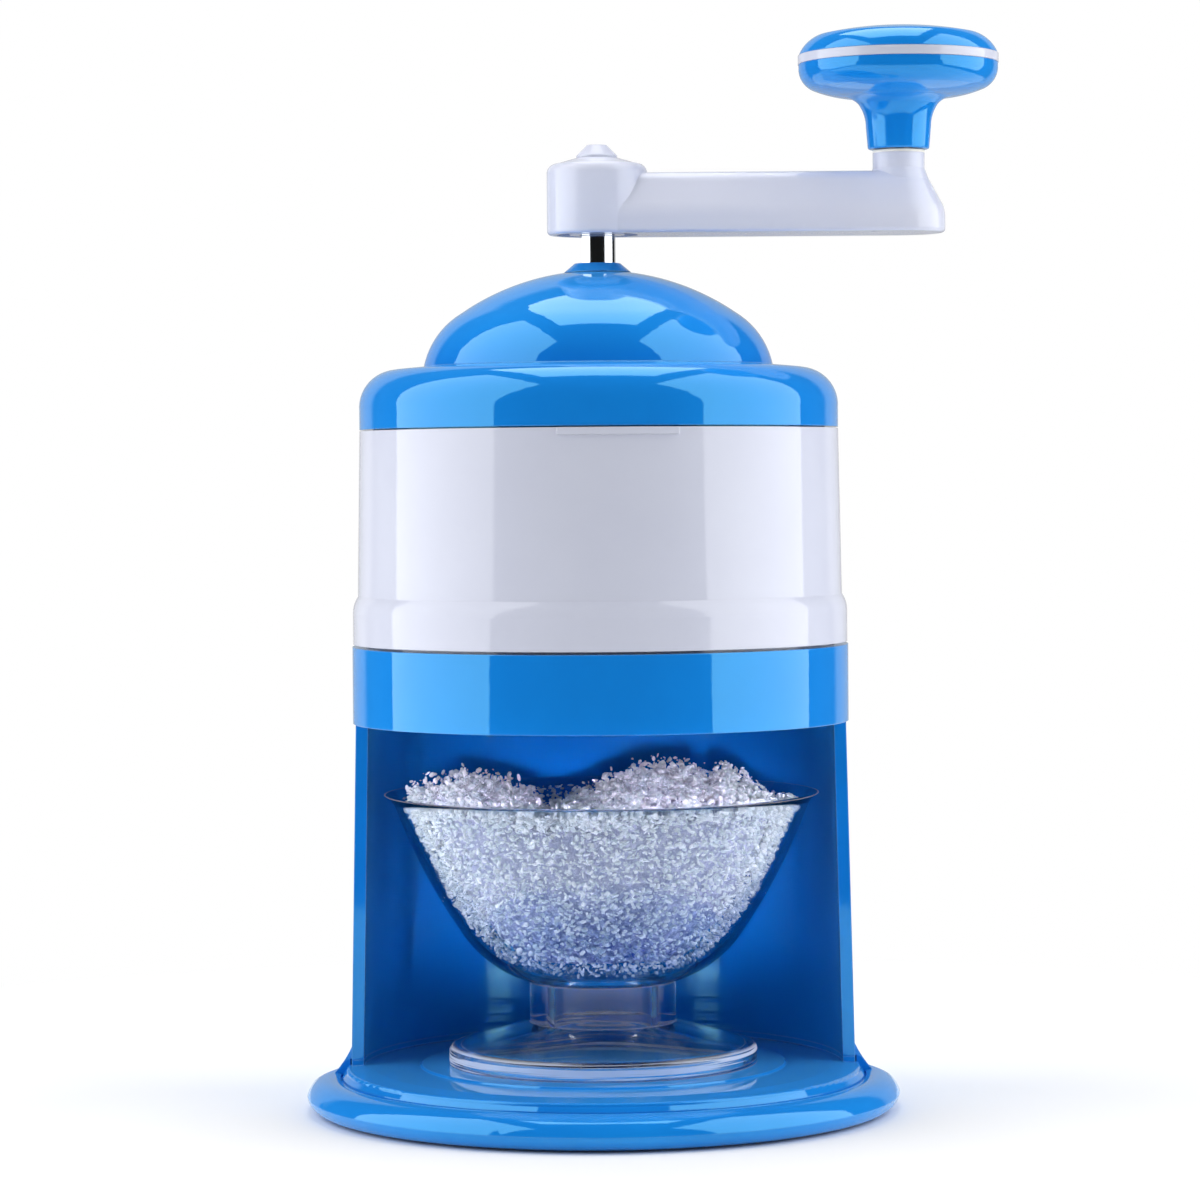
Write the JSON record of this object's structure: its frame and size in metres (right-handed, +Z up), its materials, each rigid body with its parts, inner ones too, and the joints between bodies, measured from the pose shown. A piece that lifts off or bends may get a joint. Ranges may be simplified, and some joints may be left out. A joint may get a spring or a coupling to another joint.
{
  "type": "hand-cranked ice shaver",
  "caption": "Table-top hand-cranked ice shaver: round base with open-fronted housing, ice hopper with floor blade, domed lid, side crank with turning knob, and a footed bowl of shaved ice.",
  "frame": {"origin": "where the main axis meets the surface that the base's rubber pad stands on", "axes": "+Z up along the crank shaft; -Y out of the front of the bowl bay; +X along the crank arm at rest"},
  "size_m": [0.1645, 0.14, 0.2542],
  "materials": {
    "blue_plastic": "glossy moulded",
    "white_plastic": "glossy moulded",
    "press_plastic": "satin moulded",
    "chrome_steel": "polished and plated",
    "steel": "stainless",
    "nylon": "natural nylon",
    "grey_plastic": "fine texture",
    "rubber": "fine texture",
    "clear_plastic": "clear polished",
    "ice": "packed flakes"
  },
  "bodies": {
    "base": {"base_moulding": "blue_plastic", "bottom_cover": "grey_plastic", "cover_screws": "steel", "non_slip_pad": "rubber", "housing": "blue_plastic", "housing_screws": "steel"},
    "hopper": {"hopper": "white_plastic", "blade": "steel", "blade_screws": "steel", "blade_nuts": "steel"},
    "lid": {"lid": "blue_plastic"},
    "bush": {"shaft_bush": "blue_plastic", "bush_washer": "nylon", "bush_clip": "steel"},
    "crank": {"shaft": "chrome_steel", "press_plate": "press_plastic", "press_spikes": "steel", "plate_washer": "steel", "plate_nut": "steel", "crank_arm": "white_plastic", "crank_arm_cover": "white_plastic", "crank_washer": "steel", "crank_screw": "steel", "hub_cap": "white_plastic", "knob_axle": "steel", "knob_washer": "nylon"},
    "knob": {"knob_body": "blue_plastic", "knob_ring": "white_plastic", "knob_cap": "blue_plastic"},
    "bowl": {"bowl": "clear_plastic", "shaved_ice": "ice"}
  },
  "joints": [
    {"name": "hopper_lift", "type": "slide", "parent": "base", "child": "hopper", "axis": [0, 0, 1], "range_m": [0, 0.03]},
    {"name": "lid_lift", "type": "slide", "parent": "hopper", "child": "lid", "axis": [0, 0, 1], "range_m": [0, 0.07]},
    {"name": "crank_turn", "type": "hinge", "parent": "lid", "child": "bush", "pos_m": [0, 0, 0.19], "axis": [0, 0, 1], "continuous": true},
    {"name": "shaft_lift", "type": "slide", "parent": "bush", "child": "crank", "axis": [0, 0, 1], "range_m": [0, 0.05]},
    {"name": "knob_spin", "type": "hinge", "parent": "crank", "child": "knob", "pos_m": [0.071, 0, 0.235], "axis": [0, 0, 1], "continuous": true},
    {"name": "bowl_slide", "type": "slide", "parent": "base", "child": "bowl", "axis": [0, -1, 0], "range_m": [0, 0.12]}
  ]
}
